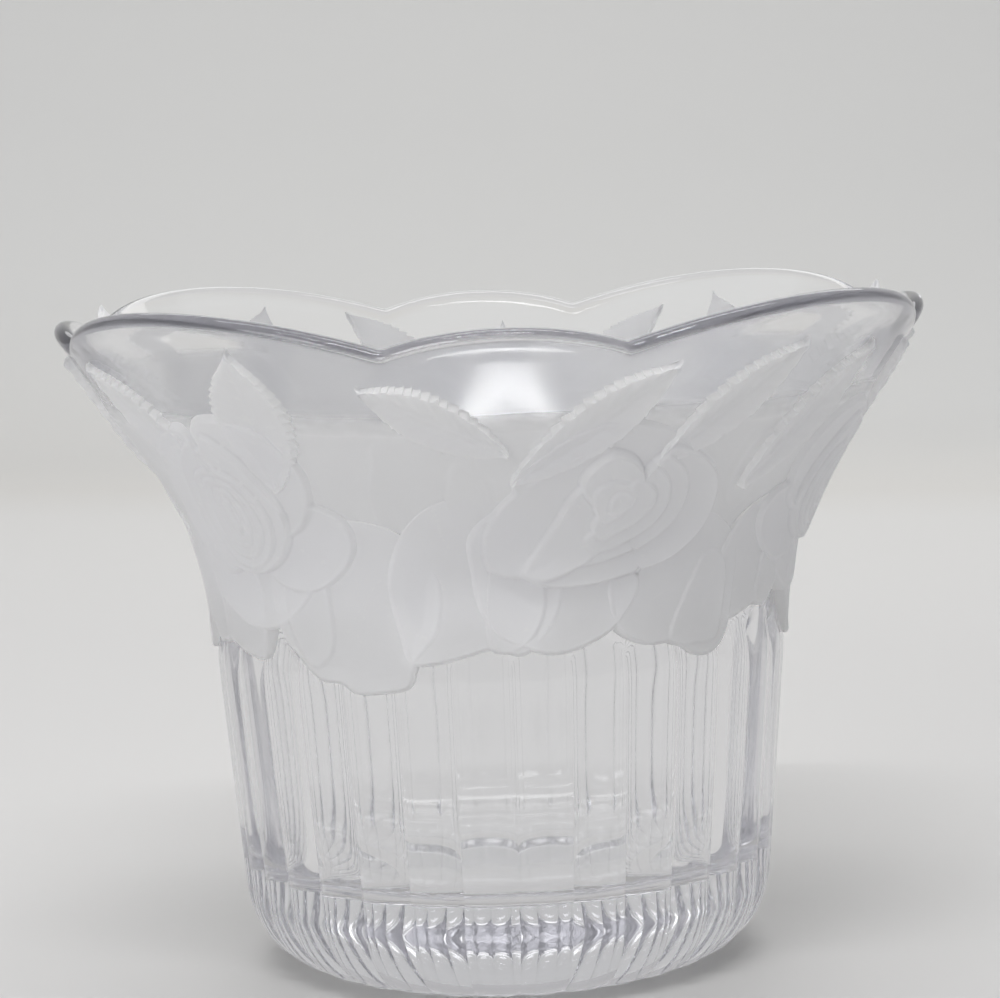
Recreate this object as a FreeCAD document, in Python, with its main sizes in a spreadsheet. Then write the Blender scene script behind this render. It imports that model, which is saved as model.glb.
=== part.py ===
"""Rose bowl vase: one pressing of clear glass with satin roses and leaves in relief.

The vessel is a thick base and a ribbed wall that opens into a wide flare with a
scalloped rim. Roses, leaves and lower petals stand on the flare as pieces of their
own, because they carry a satin finish. The origin is the middle of the foot's
underside, +Z is up, and the front is towards -Y. Lengths are in millimetres.
"""
import FreeCAD, Part

import os
from math import asin, cos, degrees, pi, radians, sin, tan

from FreeCAD import Placement, Rotation, Vector

# Driving dimensions: alias, value, what it is
SIZES = [
    ("foot_radius", 43.0, "crest radius where the ribs turn under to the foot"),
    ("corner_radius", 19.5, "round corner between foot and wall"),
    ("wall_draft", 4.8, "lean of the ribbed wall, degrees from upright"),
    ("rib_count", 32, "upright ribs round the wall"),
    ("rib_turn", 1.9, "angle from the front to the nearest groove, degrees"),
    ("groove_share", 0.15, "depth of a groove as a share of the rib's width"),
    ("core_gap", 0.6, "how far the core wall stays inside the grooves"),
    ("rib_shoulder", 74.0, "height at which the ribs begin to die out"),
    ("rib_top", 86.0, "height at which the ribs have gone into the flare"),
    ("rim_height", 151.6, "height of the rim's outer edge at a small lobe"),
    ("small_lobe_radius", 102.3, "reach of the rim at a small lobe"),
    ("large_lobe_radius", 105.2, "reach of the rim at a large lobe"),
    ("cusp_radius", 99.6, "reach of the rim at a cusp between lobes"),
    ("small_lobe_half_angle", 15.5, "half the angle of a small lobe, degrees"),
    ("flare_angle", 34.2, "lean of the flare, degrees from upright"),
    ("flare_bend", 78.0, "radius of the bend between wall and flare"),
    ("wall_thickness", 4.2, "glass thickness of the flare"),
    ("body_thickness", 6.2, "glass thickness of the ribbed wall at a crest"),
    ("rim_round", 1.5, "fire-polished rounding of the rim"),
    ("floor_height", 20.0, "thickness of the base"),
    ("floor_corner", 9.0, "round corner inside, between floor and wall"),
    ("foot_ring_width", 6.0, "flat ring that the vase stands on"),
    ("recess_depth", 2.2, "hollow of the underside"),
    ("overrun", 12.0, "how far cutting forms run past what they cut"),
    ("rose_radius", 24.0, "outer petals of a rose"),
    ("rose_relief", 4.8, "height of a rose's heart above the wall"),
    ("leaf_length", 42.0, "leaf from stalk to tip"),
    ("leaf_width", 22.0, "leaf at its widest"),
    ("leaf_relief", 1.7, "height of a leaf above the wall"),
    ("vein_depth", 0.7, "depth of a leaf's midrib groove"),
    ("vein_width", 1.2, "width of a leaf's midrib groove"),
    ("petal_radius", 18.5, "lower petals that hang below the roses"),
    ("petal_relief", 1.3, "height of a lower petal above the wall"),
]

# Shape of the repeats, as counts and shares
LOBES = 4
CORNER_SECTIONS = 7
LEAF_TEETH = 7
TOOTH_SHARE = 0.11
TOOTH_POINT_SHARE = 0.15
LEAF_FULLNESS_SHARE = 0.8
MIDRIB_SHARE = 0.84
PETAL_BULGE_SHARE = 0.16
RECESS_CURVE_SHARE = 0.75

# Tiers of a rose: radius and relief as shares of the rose's own, petals, turn in degrees
TIER_SHARES = [
    (1.00, 0.38, 5, 10.0),
    (0.74, 0.60, 5, 46.0),
    (0.48, 0.80, 4, 20.0),
    (0.24, 1.00, 3, 70.0),
]
# Roses: angle from the front in degrees, height as a share of the rim's, size as a
# share of the rose radius, width against height, turn in degrees
ROSE_SHARES = [
    (-45.0, 0.735, 1.00, 0.95, 0.0),
    (20.0, 0.738, 1.00, 1.00, 25.0),
    (70.0, 0.730, 0.96, 0.96, 50.0),
    (128.0, 0.735, 1.00, 0.98, 15.0),
    (-172.0, 0.738, 1.02, 1.00, 62.0),
    (-108.0, 0.730, 0.98, 0.96, 40.0),
]
# Lower petals: angle in degrees, height share of the rim's, size share, tilt in degrees
PETAL_SHARES = [
    (-24.0, 0.620, 1.05, -12.0),
    (-4.0, 0.650, 1.00, 16.0),
    (32.0, 0.620, 1.00, 10.0),
    (-62.0, 0.630, 0.90, 12.0),
    (54.0, 0.650, 0.75, -10.0),
    (84.0, 0.620, 0.95, 8.0),
    (106.0, 0.640, 0.95, -14.0),
    (143.0, 0.625, 1.00, 10.0),
    (165.0, 0.635, 0.95, -10.0),
    (-150.0, 0.620, 1.00, -8.0),
    (-127.0, 0.635, 0.95, 14.0),
    (-87.0, 0.625, 0.95, -6.0),
]
# Leaves: angle of the tip in degrees, its height as a share of the rim's, length share,
# width share, tilt from upright in degrees, to the right as seen from outside
LEAF_SHARES = [
    (-32.0, 0.990, 0.84, 1.10, 8.0),
    (-64.0, 0.962, 0.90, 0.95, -42.0),
    (-15.5, 0.950, 0.88, 0.95, -60.0),
    (23.5, 0.957, 0.86, 0.90, 54.0),
    (42.0, 0.980, 0.88, 0.95, 46.0),
    (57.0, 0.963, 0.84, 0.90, 10.0),
    (72.0, 0.955, 0.84, 0.95, -30.0),
    (88.0, 0.960, 0.86, 0.90, -50.0),
    (113.0, 1.022, 0.94, 0.90, 12.0),
    (144.0, 0.993, 0.88, 1.00, 34.0),
    (152.0, 0.970, 0.88, 0.95, -42.0),
    (178.0, 0.978, 0.78, 0.90, 4.0),
    (-157.0, 0.975, 0.88, 0.95, 44.0),
    (-144.0, 0.993, 0.88, 1.05, -30.0),
    (-113.0, 1.022, 0.70, 0.90, -12.0),
    (-79.0, 0.962, 0.86, 0.95, 36.0),
]


def make_sheet(doc):
    """The spreadsheet that holds the driving dimensions."""
    sheet = doc.addObject("Spreadsheet::Sheet", "Sizes")
    for row, (alias, value, note) in enumerate(SIZES, start=1):
        sheet.set("A%d" % row, note)
        sheet.set("B%d" % row, str(value))
        sheet.setAlias("B%d" % row, alias)
    doc.recompute()
    return sheet


class Sizes:
    """The sheet's cells, read by their aliases."""

    def __init__(self, sheet):
        for alias, _, _ in SIZES:
            setattr(self, alias, float(sheet.get(alias)))


def rising(lean):
    """Direction up a wall of the half section that leans outward by these degrees."""
    return Vector(sin(radians(lean)), cos(radians(lean)), 0)


def outward(lean):
    """Normal, away from the axis, of a wall that leans by these degrees."""
    return Vector(cos(radians(lean)), -sin(radians(lean)), 0)


def meet(start, direction, other, other_direction):
    """Where two lines of the half section cross."""
    cross = direction.x * other_direction.y - direction.y * other_direction.x
    gap = other - start
    along = (gap.x * other_direction.y - gap.y * other_direction.x) / cross
    return start + direction * along


class Wall:
    """Half section of a wall: a wall line, a bend and a flare line.

    x is the distance from the axis and y the height. The insets move the wall line
    in from the rib crests and the flare line in from the flare's outside.
    """

    def __init__(self, s, inset, flare_inset):
        self.draft = s.wall_draft
        self.flare = s.flare_angle
        corner_centre = Vector(s.foot_radius, s.corner_radius, 0)
        self.low = corner_centre + outward(self.draft) * (s.corner_radius - inset)
        self.rim = Vector(s.small_lobe_radius, s.rim_height, 0) - outward(self.flare) * flare_inset
        corner = meet(self.low, rising(self.draft), self.rim, rising(self.flare))
        self.bend = s.flare_bend + flare_inset
        reach = self.bend * tan(radians(self.flare - self.draft) / 2)
        self.bend_low = corner - rising(self.draft) * reach
        self.bend_high = corner + rising(self.flare) * reach
        self.centre = self.bend_low + outward(self.draft) * self.bend
        middle = (self.draft + self.flare) / 2
        self.bend_middle = self.centre - outward(middle) * self.bend

    def lean_at(self, height):
        """The wall's lean at a height, in degrees from upright."""
        if height < self.bend_low.y:
            return self.draft
        if height > self.bend_high.y:
            return self.flare
        return degrees(asin((height - self.centre.y) / self.bend))

    def point_at(self, height):
        """The wall's point at a height."""
        if height < self.bend_low.y:
            return self.low + rising(self.draft) * ((height - self.low.y) / cos(radians(self.draft)))
        if height > self.bend_high.y:
            return self.rim + rising(self.flare) * ((height - self.rim.y) / cos(radians(self.flare)))
        return self.centre - outward(self.lean_at(height)) * self.bend


def upright_sketch(doc, name, edges):
    """A sketch of the half section, stood up in the XZ plane."""
    sketch = doc.addObject("Sketcher::SketchObject", name)
    for edge in edges:
        sketch.addGeometry(edge)
    sketch.Placement = Placement(Vector(), Rotation(Vector(1, 0, 0), 90))
    return sketch


def turned(doc, name, sketch):
    """A solid turned about the vase's axis."""
    solid = doc.addObject("Part::Revolution", name)
    solid.Source = sketch
    solid.Axis = Vector(0, 0, 1)
    solid.Base = Vector()
    solid.Angle = 360
    solid.Solid = True
    return solid


def joined(doc, kind, name, shapes):
    """A fusion or a common volume of several objects."""
    result = doc.addObject("Part::" + kind, name)
    result.Shapes = shapes
    return result


def less(doc, name, base, tool):
    """One object with another cut away."""
    result = doc.addObject("Part::Cut", name)
    result.Base = base
    result.Tool = tool
    return result


def wall_edges(wall, bottom, top, floor_corner=0.0):
    """Closed half section from the axis out to a wall, between two heights."""
    foot = wall.point_at(bottom)
    crown = wall.point_at(top)
    edges = []
    if floor_corner:
        reach = floor_corner * tan(radians(90 - wall.draft) / 2)
        inner = Vector(foot.x - reach, bottom, 0)
        outer = foot + rising(wall.draft) * reach
        centre = inner + Vector(0, floor_corner, 0)
        middle = centre + (outward(wall.draft) + Vector(0, -1, 0)).normalize() * floor_corner
        edges.append(Part.LineSegment(Vector(0, bottom, 0), inner))
        edges.append(Part.Arc(inner, middle, outer))
        foot = outer
    else:
        edges.append(Part.LineSegment(Vector(0, bottom, 0), foot))
    edges.append(Part.LineSegment(foot, wall.bend_low))
    edges.append(Part.Arc(wall.bend_low, wall.bend_middle, wall.bend_high))
    edges.append(Part.LineSegment(wall.bend_high, crown))
    edges.append(Part.LineSegment(crown, Vector(0, top, 0)))
    edges.append(Part.LineSegment(Vector(0, top, 0), Vector(0, bottom, 0)))
    return edges


def front_point(radius, angle):
    """Point of a level outline at an angle from the front, -Y, towards +X."""
    return Vector(radius * sin(radians(angle)), -radius * cos(radians(angle)), 0)


def ribbed_outline(doc, s, name, crest):
    """Level outline of the ribs: one arc a rib, with a sharp groove between two."""
    count = int(s.rib_count)
    step = 360 / count
    groove = crest - s.groove_share * 2 * pi * crest / count
    sketch = doc.addObject("Sketcher::SketchObject", name)
    for rib in range(count):
        start = s.rib_turn + rib * step
        first = front_point(groove, start)
        middle = front_point(crest, start + step / 2)
        last = front_point(groove, start + step)
        sketch.addGeometry(Part.Arc(first, middle, last))
    return sketch


def lofted(doc, name, sections, ruled):
    """A solid through level outlines."""
    solid = doc.addObject("Part::Loft", name)
    solid.Sections = sections
    solid.Solid = True
    solid.Ruled = ruled
    return solid


def make_ribs(doc, s, crests, core):
    """The ribbed wall and the corner where the ribs turn under to the foot."""
    corner = []
    for step in range(CORNER_SECTIONS):
        turn = (90 - s.wall_draft) * step / (CORNER_SECTIONS - 1)
        crest = s.foot_radius + s.corner_radius * sin(radians(turn))
        section = ribbed_outline(doc, s, "corner_outline_%d" % step, crest)
        rise = "Sizes.corner_radius * (1 - cos(%s deg))" % turn
        section.setExpression("Placement.Base.z", rise)
        corner.append(section)
    shoulder_rise = (s.rib_shoulder - crests.low.y) * tan(radians(s.wall_draft))
    shoulder = ribbed_outline(doc, s, "rib_shoulder_outline", crests.low.x + shoulder_rise)
    shoulder.setExpression("Placement.Base.z", "Sizes.rib_shoulder")
    top = ribbed_outline(doc, s, "rib_top_outline", core.point_at(s.rib_top).x - s.core_gap)
    top.setExpression("Placement.Base.z", "Sizes.rib_top")
    doc.recompute()
    rib_corner = lofted(doc, "rib_corner", corner, False)
    rib_wall = lofted(doc, "rib_wall", [corner[-1], shoulder, top], True)
    return rib_corner, rib_wall


def lobed_outline(doc, s, name, height):
    """Scalloped outline that trims the rim square to the flare, at one height."""
    slope = tan(radians(s.flare_angle))

    def reach(radius):
        rim_height = s.rim_height + (radius - s.small_lobe_radius) / slope
        return radius + (rim_height - height) / slope

    sketch = doc.addObject("Sketcher::SketchObject", name)
    small = s.small_lobe_half_angle
    quarter = 360 / LOBES
    for lobe in range(LOBES):
        middle = lobe * quarter
        cusps = [front_point(reach(s.cusp_radius), middle + turn)
                 for turn in (-small, small, quarter - small)]
        small_peak = front_point(reach(s.small_lobe_radius), middle)
        large_peak = front_point(reach(s.large_lobe_radius), middle + quarter / 2)
        sketch.addGeometry(Part.Arc(cusps[0], small_peak, cusps[1]))
        sketch.addGeometry(Part.Arc(cusps[1], large_peak, cusps[2]))
    return sketch


def make_vessel(doc, s):
    """Clear pressed glass: base, ribbed wall, flare and scalloped rim."""
    crests = Wall(s, 0.0, 0.0)
    groove_depth = s.groove_share * 2 * pi * crests.low.x / s.rib_count
    core = Wall(s, groove_depth + s.core_gap, 0.0)
    inside = Wall(s, s.body_thickness, s.wall_thickness)
    crown = s.rim_height + s.overrun
    core_profile = upright_sketch(doc, "core_profile", wall_edges(core, s.corner_radius, crown))
    core_form = turned(doc, "core_form", core_profile)
    rib_corner, rib_wall = make_ribs(doc, s, crests, core)
    blank = joined(doc, "MultiFuse", "glass_blank", [core_form, rib_corner, rib_wall])

    trim_low = lobed_outline(doc, s, "rim_outline_low", 0.0)
    trim_high = lobed_outline(doc, s, "rim_outline_high", crown)
    trim_high.setExpression("Placement.Base.z", "Sizes.rim_height + Sizes.overrun")
    doc.recompute()
    rim_trim = lofted(doc, "rim_trim", [trim_low, trim_high], True)
    trimmed = joined(doc, "MultiCommon", "trimmed_blank", [blank, rim_trim])

    cavity_edges = wall_edges(inside, s.floor_height, crown + s.overrun, s.floor_corner)
    cavity = turned(doc, "cavity", upright_sketch(doc, "cavity_profile", cavity_edges))
    groove_at_foot = s.groove_share * 2 * pi * s.foot_radius / s.rib_count
    recess_radius = s.foot_radius - groove_at_foot - s.foot_ring_width
    recess_edges = [
        Part.Arc(Vector(0, s.recess_depth, 0),
                 Vector(recess_radius / 2, s.recess_depth * RECESS_CURVE_SHARE, 0),
                 Vector(recess_radius, 0, 0)),
        Part.LineSegment(Vector(recess_radius, 0, 0), Vector(recess_radius, -s.overrun, 0)),
        Part.LineSegment(Vector(recess_radius, -s.overrun, 0), Vector(0, -s.overrun, 0)),
        Part.LineSegment(Vector(0, -s.overrun, 0), Vector(0, s.recess_depth, 0)),
    ]
    recess = turned(doc, "foot_recess", upright_sketch(doc, "recess_profile", recess_edges))
    hollows = joined(doc, "MultiFuse", "hollows", [cavity, recess])
    hollowed = less(doc, "hollowed_glass", trimmed, hollows)
    doc.recompute()
    vessel = doc.addObject("Part::Fillet", "vessel")
    vessel.Base = hollowed
    vessel.Edges = [(edge, s.rim_round, s.rim_round) for edge in rim_edges(hollowed.Shape, s)]
    vessel.Label = "vessel"
    return vessel, blank, core_form


def rim_edges(shape, s):
    """Numbers of the long edges on both sides of the rim's cut face."""
    lowest = s.rim_height - (s.small_lobe_radius - s.cusp_radius) / tan(radians(s.flare_angle))
    numbers = []
    for number, edge in enumerate(shape.Edges, start=1):
        box = edge.BoundBox
        if box.ZMin > lowest - s.rim_round and edge.Length > 2 * s.wall_thickness:
            numbers.append(number)
    return numbers


class Relief:
    """Makes the satin pieces: each is an outline pushed out through a skin on the glass."""

    def __init__(self, doc, s, ribbed, plain):
        self.doc = doc
        self.s = s
        self.ribbed = ribbed
        self.plain = plain
        self.skins = {}
        self.laid = []

    def skin(self, thickness, lowest):
        """Layer of a thickness on the wall, for a piece that reaches down to a height."""
        glass = self.plain if lowest > self.s.rib_top else self.ribbed
        key = (round(thickness, 4), glass.Name)
        if key not in self.skins:
            s = self.s
            wall = Wall(s, -thickness, -thickness)
            number = len(self.skins) + 1
            edges = wall_edges(wall, s.corner_radius, s.rim_height + s.overrun)
            profile = upright_sketch(self.doc, "skin_profile_%d" % number, edges)
            filled = turned(self.doc, "filled_skin_%d" % number, profile)
            self.skins[key] = less(self.doc, "skin_%d" % number, filled, glass)
        return self.skins[key]

    def below(self, thickness):
        """Everything inside a skin of a thickness."""
        return self.skin(thickness, self.s.rim_height).Base

    def pushed(self, name, edges, angle, height, tilt=0.0):
        """An upright outline pushed outward through the wall at an angle and height."""
        sketch = self.doc.addObject("Sketcher::SketchObject", name + "_outline")
        for edge in edges:
            sketch.addGeometry(edge)
        facing = Rotation(Vector(0, 0, 1), angle).multiply(Rotation(Vector(1, 0, 0), 90))
        facing = facing.multiply(Rotation(Vector(0, 0, 1), -tilt))
        start = front_point(self.s.foot_radius, angle) + Vector(0, 0, height)
        sketch.Placement = Placement(start, facing)
        block = self.doc.addObject("Part::Extrusion", name + "_block")
        block.Base = sketch
        block.DirMode = "Normal"
        block.Solid = True
        block.setExpression("LengthFwd", "Sizes.large_lobe_radius - Sizes.foot_radius + 2 * Sizes.overrun")
        return block

    def lay(self, name, block, angle, height, reach, piece):
        """Trims a piece to the pieces that were laid before it."""
        number = 0
        for other, other_angle, other_height, other_reach in self.laid:
            turn = abs((angle - other_angle + 180) % 360 - 180)
            across = 2 * self.s.foot_radius * radians(turn)
            if max(across, abs(height - other_height)) < reach + other_reach:
                number += 1
                piece = less(self.doc, "%s_trim_%d" % (name, number), piece, other)
        self.laid.append((block, angle, height, reach))
        piece.Label = name
        return piece


def petal_ring(radius, wide, petals, turn):
    """Closed ring of petal edges, each an arc that bulges out between two notches."""
    step = 360 / petals
    notch = radius * (1 - PETAL_BULGE_SHARE)
    edges = []
    for petal in range(petals):
        points = []
        for reach, angle in ((notch, 0), (radius, step / 2), (notch, step)):
            around = radians(turn + petal * step + angle)
            points.append(Vector(wide * reach * cos(around), reach * sin(around), 0))
        edges.append(Part.Arc(*points))
    return edges


def make_rose(relief, s, number, angle, height_share, size_share, wide, turn):
    """A rose: rings of petals, each ring smaller and standing further out."""
    name = "rose_%d" % number
    height = height_share * s.rim_height
    radius = size_share * s.rose_radius
    tiers = []
    outer = None
    for tier, (reach_share, relief_share, petals, tier_turn) in enumerate(TIER_SHARES, start=1):
        ring = petal_ring(radius * reach_share, wide, petals, turn + tier_turn)
        tier_name = "%s_tier_%d" % (name, tier)
        block = relief.pushed(tier_name, ring, angle, height)
        skin = relief.skin(relief_share * s.rose_relief, height - radius)
        tiers.append(joined(relief.doc, "MultiCommon", tier_name, [block, skin]))
        outer = outer or block
    solid = joined(relief.doc, "MultiFuse", name + "_petals", tiers)
    return relief.lay(name, outer, angle, height, radius, solid)


def make_lower_petal(relief, s, number, angle, height_share, size_share, tilt):
    """A broad petal that hangs below the roses and hides the tops of the ribs."""
    name = "lower_petal_%d" % number
    height = height_share * s.rim_height
    radius = size_share * s.petal_radius
    corners = [(0, 1), (-1, 0), (0, -1), (1, 0)]
    edges = []
    for first, last in zip(corners, corners[1:] + corners[:1]):
        middle = Vector(first[0] + last[0], first[1] + last[1], 0).normalize()
        edges.append(Part.Arc(Vector(*first, 0) * radius, middle * radius * (1 + PETAL_BULGE_SHARE / 2),
                              Vector(*last, 0) * radius))
    block = relief.pushed(name, edges, angle, height, tilt)
    skin = relief.skin(s.petal_relief, height - radius)
    solid = joined(relief.doc, "MultiCommon", name + "_solid", [block, skin])
    return relief.lay(name, block, angle, height, radius, solid)


def leaf_outline(length, width):
    """Leaf with saw teeth that point to its tip, from stalk to tip and back.

    The tip is the outline's origin and the stalk is straight below it.
    """
    right = [Vector(0, -length, 0)]
    for tooth in range(1, LEAF_TEETH + 1):
        for along, swell in ((tooth - TOOTH_POINT_SHARE, 1 + TOOTH_SHARE), (tooth, 1 - TOOTH_SHARE)):
            share = along / (LEAF_TEETH + 1)
            half = width / 2 * sin(pi * share ** LEAF_FULLNESS_SHARE) * swell
            right.append(Vector(half, length * (share - 1), 0))
    left = [Vector(-point.x, point.y, 0) for point in reversed(right[1:])]
    points = right + [Vector()] + left
    return [Part.LineSegment(a, b) for a, b in zip(points, points[1:] + points[:1])]


def make_leaf(relief, s, number, angle, height_share, length_share, width_share, tilt):
    """A saw-edged leaf with a groove for its midrib."""
    name = "leaf_%d" % number
    tip = height_share * s.rim_height
    length = length_share * s.leaf_length
    width = width_share * s.leaf_width
    lowest = tip - length
    block = relief.pushed(name, leaf_outline(length, width), angle, tip, tilt)
    skin = relief.skin(s.leaf_relief, lowest)
    blade = joined(relief.doc, "MultiCommon", name + "_blade", [block, skin])
    side = Vector(s.vein_width / 2, 0, 0)
    foot = Vector(0, -length * MIDRIB_SHARE, 0)
    head = Vector(0, -length * (1 - MIDRIB_SHARE), 0)
    points = [foot - side, foot + side, head]
    rib = [Part.LineSegment(a, b) for a, b in zip(points, points[1:] + points[:1])]
    rib_block = relief.pushed(name + "_midrib", rib, angle, tip, tilt)
    groove = less(relief.doc, name + "_groove", rib_block, relief.below(s.leaf_relief - s.vein_depth))
    veined = less(relief.doc, name + "_veined", blade, groove)
    back = length / 2 * sin(radians(tilt)) / Wall(s, 0.0, 0.0).point_at(tip).x
    middle = tip - length / 2 * cos(radians(tilt))
    return relief.lay(name, block, angle - degrees(back), middle, length / 2, veined)


def check(doc, parts):
    """Stops the build if an object failed or a part is not one sound shape."""
    for obj in doc.Objects:
        if "Invalid" in obj.State or "Error" in obj.State:
            raise RuntimeError("%s failed: %s" % (obj.Name, obj.State))
    for part in parts:
        if part.Shape.isNull() or not part.Shape.isValid():
            raise RuntimeError("%s has no valid shape" % part.Label)


def main():
    doc = FreeCAD.newDocument("rose_bowl_vase")
    s = Sizes(make_sheet(doc))
    vessel, ribbed, plain = make_vessel(doc, s)
    relief = Relief(doc, s, ribbed, plain)
    parts = [vessel]
    for number, rose in enumerate(ROSE_SHARES, start=1):
        parts.append(make_rose(relief, s, number, *rose))
    for number, petal in enumerate(PETAL_SHARES, start=1):
        parts.append(make_lower_petal(relief, s, number, *petal))
    for number, leaf in enumerate(LEAF_SHARES, start=1):
        parts.append(make_leaf(relief, s, number, *leaf))
    doc.recompute()
    check(doc, parts)
    os.makedirs("parts", exist_ok=True)
    for part in parts:
        part.Shape.exportStep("parts/%s.step" % part.Label)
        shape = part.Shape
        print(part.Label, len(shape.Solids), "solid", len(shape.Faces), "faces", "%.0f mm3" % shape.Volume)


main()
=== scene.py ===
"""Rose bowl vase: clear ribbed glass with satin roses, leaves and lower petals in relief."""
from math import cos, pi, radians, sin, tan

import bpy
import numpy as np
from mathutils import Matrix, Vector


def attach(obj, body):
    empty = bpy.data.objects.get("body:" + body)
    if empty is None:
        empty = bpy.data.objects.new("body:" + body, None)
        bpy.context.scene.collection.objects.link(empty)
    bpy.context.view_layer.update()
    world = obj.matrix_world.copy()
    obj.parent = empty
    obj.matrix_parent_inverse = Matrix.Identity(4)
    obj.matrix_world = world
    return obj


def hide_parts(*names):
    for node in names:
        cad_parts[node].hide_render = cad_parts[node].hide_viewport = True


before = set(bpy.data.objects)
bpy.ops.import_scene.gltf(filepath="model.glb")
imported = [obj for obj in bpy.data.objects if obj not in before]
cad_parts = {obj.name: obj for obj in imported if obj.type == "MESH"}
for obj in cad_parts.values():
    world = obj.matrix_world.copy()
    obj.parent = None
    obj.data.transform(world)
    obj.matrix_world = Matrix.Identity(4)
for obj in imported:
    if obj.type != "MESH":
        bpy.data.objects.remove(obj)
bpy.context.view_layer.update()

MM = 0.001

# The glass as the solids have it, in millimetres and degrees
FOOT_RADIUS = 43.0
CORNER_RADIUS = 19.5
WALL_DRAFT = 4.8
RIBS = 32
RIB_TURN = 1.9
GROOVE_SHARE = 0.15
CORE_GAP = 0.6
RIB_SHOULDER = 74.0
RIB_TOP = 86.0
RIM_HEIGHT = 151.6
SMALL_LOBE_RADIUS = 102.3
LARGE_LOBE_RADIUS = 105.2
CUSP_RADIUS = 99.6
FLARE_ANGLE = 34.2
FLARE_BEND = 78.0
WALL_THICKNESS = 4.2
BODY_THICKNESS = 6.2
RIM_ROUND = 2.0
FLOOR_CORNER = 9.0
FOOT_RING_WIDTH = 6.0
RECESS_DEPTH = 2.2
LEAF_LENGTH = 42.0
LEAF_WIDTH = 22.0
LEAF_RELIEF = 1.7

# What the photograph shows a little otherwise
SMALL_LOBE_HALF_ANGLE = 15.0
RIM_TURN = 1.7
FLOOR_HEIGHT = 23.0
SHOULDER_SOFTNESS = 1.6
GROOVE_CHANGE_START = 20.0
GROOVE_CHANGE_LENGTH = 28.0
GROOVE_AT_FOOT = 0.74
GROOVE_LOST_ABOVE = 0.32
GROOVE_ROUNDNESS = 2.1
GROOVE_LINE = 0.16
GROOVE_LINE_SHARPNESS = 9
INSIDE_SWELL = 1.2
SWELL_MIDDLE = 134.0
SWELL_HALF_HEIGHT = 17.0

# Relief: where it starts above the glass, and how it rises and fades, in millimetres
SEAT = 0.05
PETAL_STEP_SHARE = 0.72
PETAL_EDGE_WIDTH = 1.0
PETAL_CREST_SHARE = 1.1
PETAL_CREST_WIDTH = 2.2
PETAL_DISH_DEPTH = 0.5
PETAL_DISH_WIDTH = 4.0
PETAL_LEAST_RELIEF = 0.55
PETAL_OUTER_RING = 0.7
LOWER_PETAL_FADE_START = 1.0
LOWER_PETAL_FADE_LENGTH = 11.0
LOWER_PETAL_FADED_RELIEF = 0.25
LEAF_TEETH = 17
LEAF_TOOTH_DEPTH = 0.15
LEAF_VEINS = 8
LEAF_EDGE_SHARE = 0.6
MIDRIB_HALF_WIDTH = 0.55

# The satin ground between the motifs
GROUND_RELIEF = 0.45
GROUND_LOW = 89.0
GROUND_TOP = 136.3
GROUND_FADE = 5.0
GROUND_PETAL_SHARE = 0.5
GROUND_PETAL_REACH = 24.0
GAP_ANGLE = 46.0
GAP_HALF_ANGLE = 2.6
GAP_HEIGHT = 13.0

# The photograph's view, in metres, millimetres of lens and degrees
CAMERA_PLACE = (0, -0.679, 0.1833)
CAMERA_LENS = 104.04
CAMERA_PITCH, CAMERA_YAW, CAMERA_ROLL = 6.37, 0.08, -1.96

# Light bounces that clear glass seen edge on needs
GLASS_BOUNCES = 64
DIFFUSE_BOUNCES = 24

# Inputs and output of a Mix node that mixes colours
COLOUR_A, COLOUR_B, COLOUR_OUT = 6, 7, 2

# Roses: angle from the front, height share of the rim's, size share, bloom, side
ROSES = [
    (-45.0, 0.735, 1.00, "turned", 1),
    (20.0, 0.738, 1.00, "open", 1),
    (70.0, 0.730, 0.92, "turned", -1),
    (128.0, 0.735, 1.00, "open", -1),
    (-172.0, 0.738, 1.02, "turned", 1),
    (-108.0, 0.730, 0.96, "open", 1),
]
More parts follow.
